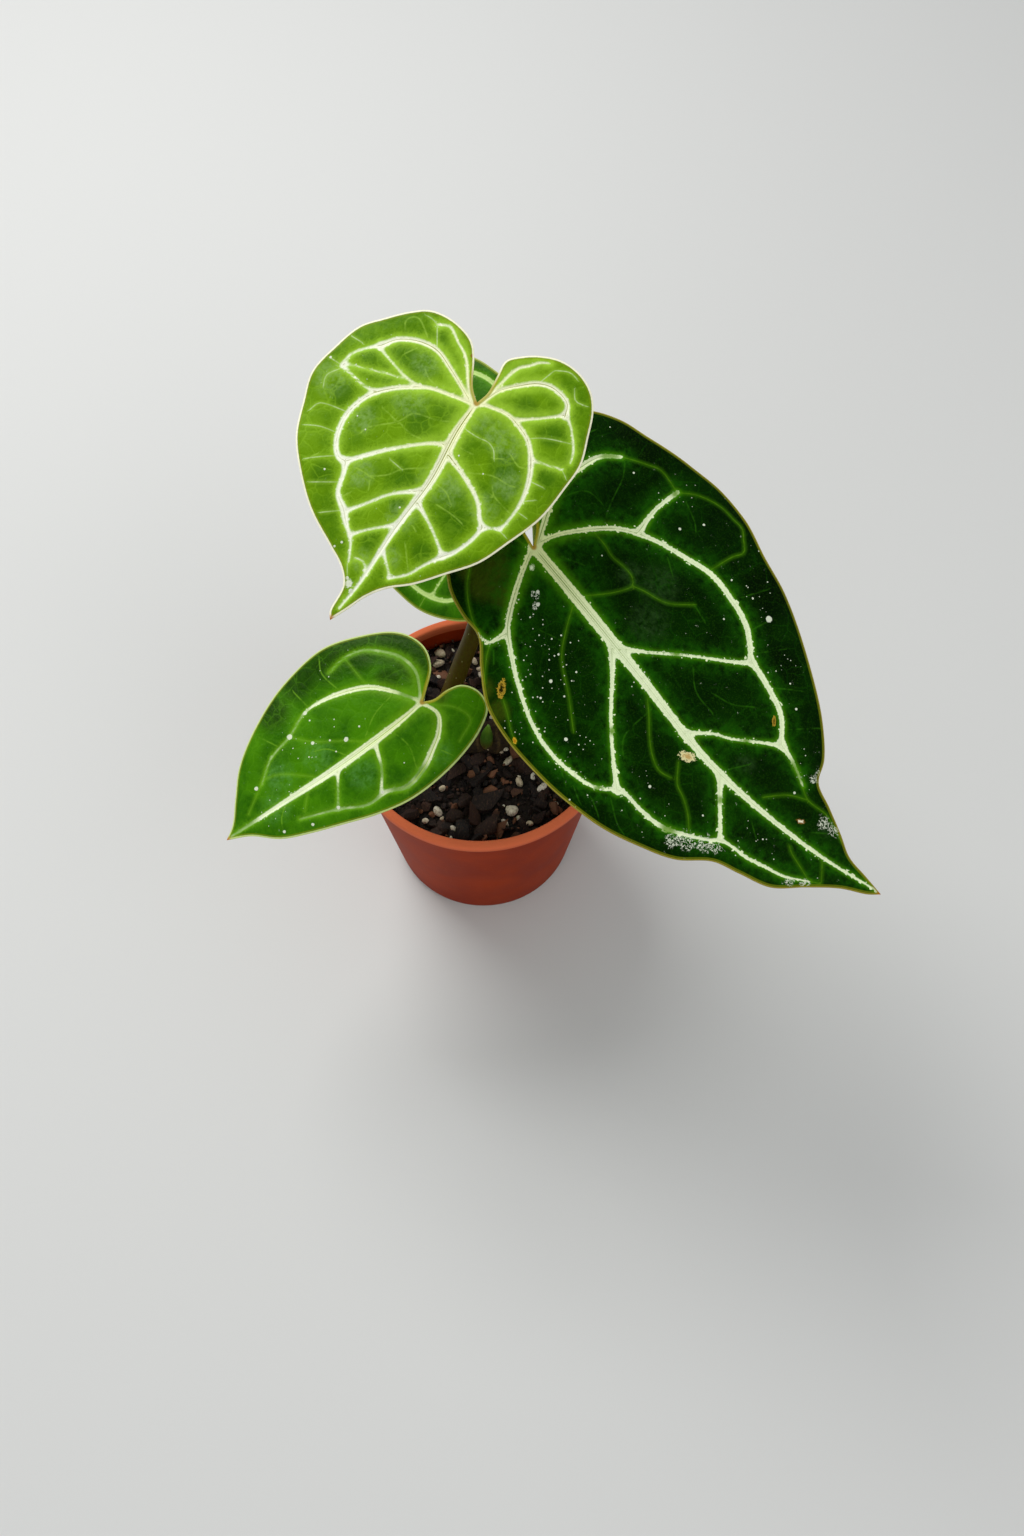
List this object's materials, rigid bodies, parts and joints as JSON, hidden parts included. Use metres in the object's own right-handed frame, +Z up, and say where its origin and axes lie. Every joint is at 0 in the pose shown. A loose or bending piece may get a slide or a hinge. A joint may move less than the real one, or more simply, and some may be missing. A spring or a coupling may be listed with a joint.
{
  "type": "potted anthurium plant",
  "caption": "Crystal anthurium in a round nursery pot: heart-shaped leaves with bold pale veins on upright stalks, rising from a short stem in bark mix.",
  "frame": {"origin": "centre of the pot's flat underside", "axes": "+Z up; -Y towards the side that the smallest gap between the leaves shows the soil from; +X towards the largest leaf"},
  "size_m": [0.2103, 0.1908, 0.2552],
  "materials": {
    "pot": "satin terracotta-coloured plastic",
    "potting_mix": "damp crumbled bark mix with white perlite",
    "stem": "dry woody stem with leaf scars",
    "stalk": "smooth olive leaf stalk",
    "shoot": "smooth pale green new growth",
    "leaf_dark": "velvety dark green with silver-white veins",
    "leaf_lime": "satin yellow-green with pale veins",
    "leaf_green": "satin mid green with pale veins"
  },
  "bodies": {
    "root": {"pot": "pot", "potting_mix": "potting_mix", "stem": "stem", "new_shoot": "shoot", "stalk_large": "stalk", "stalk_young": "stalk", "stalk_low": "stalk", "stalk_back": "stalk", "blade_large": "leaf_dark", "blade_young": "leaf_lime", "blade_low": "leaf_green", "blade_back": "leaf_green"}
  },
  "joints": []
}
